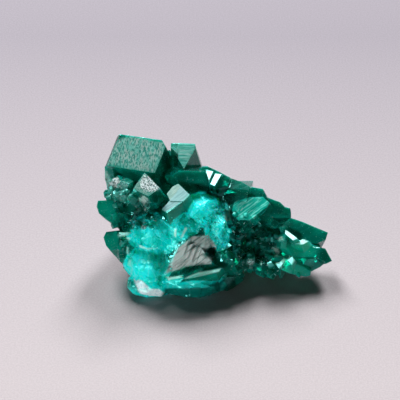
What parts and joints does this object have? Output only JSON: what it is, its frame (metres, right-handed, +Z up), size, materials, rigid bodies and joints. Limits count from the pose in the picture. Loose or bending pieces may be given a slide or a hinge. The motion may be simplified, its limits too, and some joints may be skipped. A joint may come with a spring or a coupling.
{
  "type": "dioptase crystal cluster",
  "caption": "Natural cluster of dark emerald-green dioptase crystals on a fractured turquoise mass of the same mineral, resting on a broken base.",
  "frame": {"origin": "middle of the bounding box's underside, on the plane the cluster rests on", "axes": "+X along the cluster's length to its pointed right end, +Y to its back, +Z up"},
  "size_m": [0.034, 0.0226, 0.0186],
  "materials": {
    "emerald_crystal": "gloss",
    "turquoise_fracture": "gloss"
  },
  "bodies": {
    "root": {"dioptase_cluster": "emerald_crystal"}
  },
  "joints": []
}
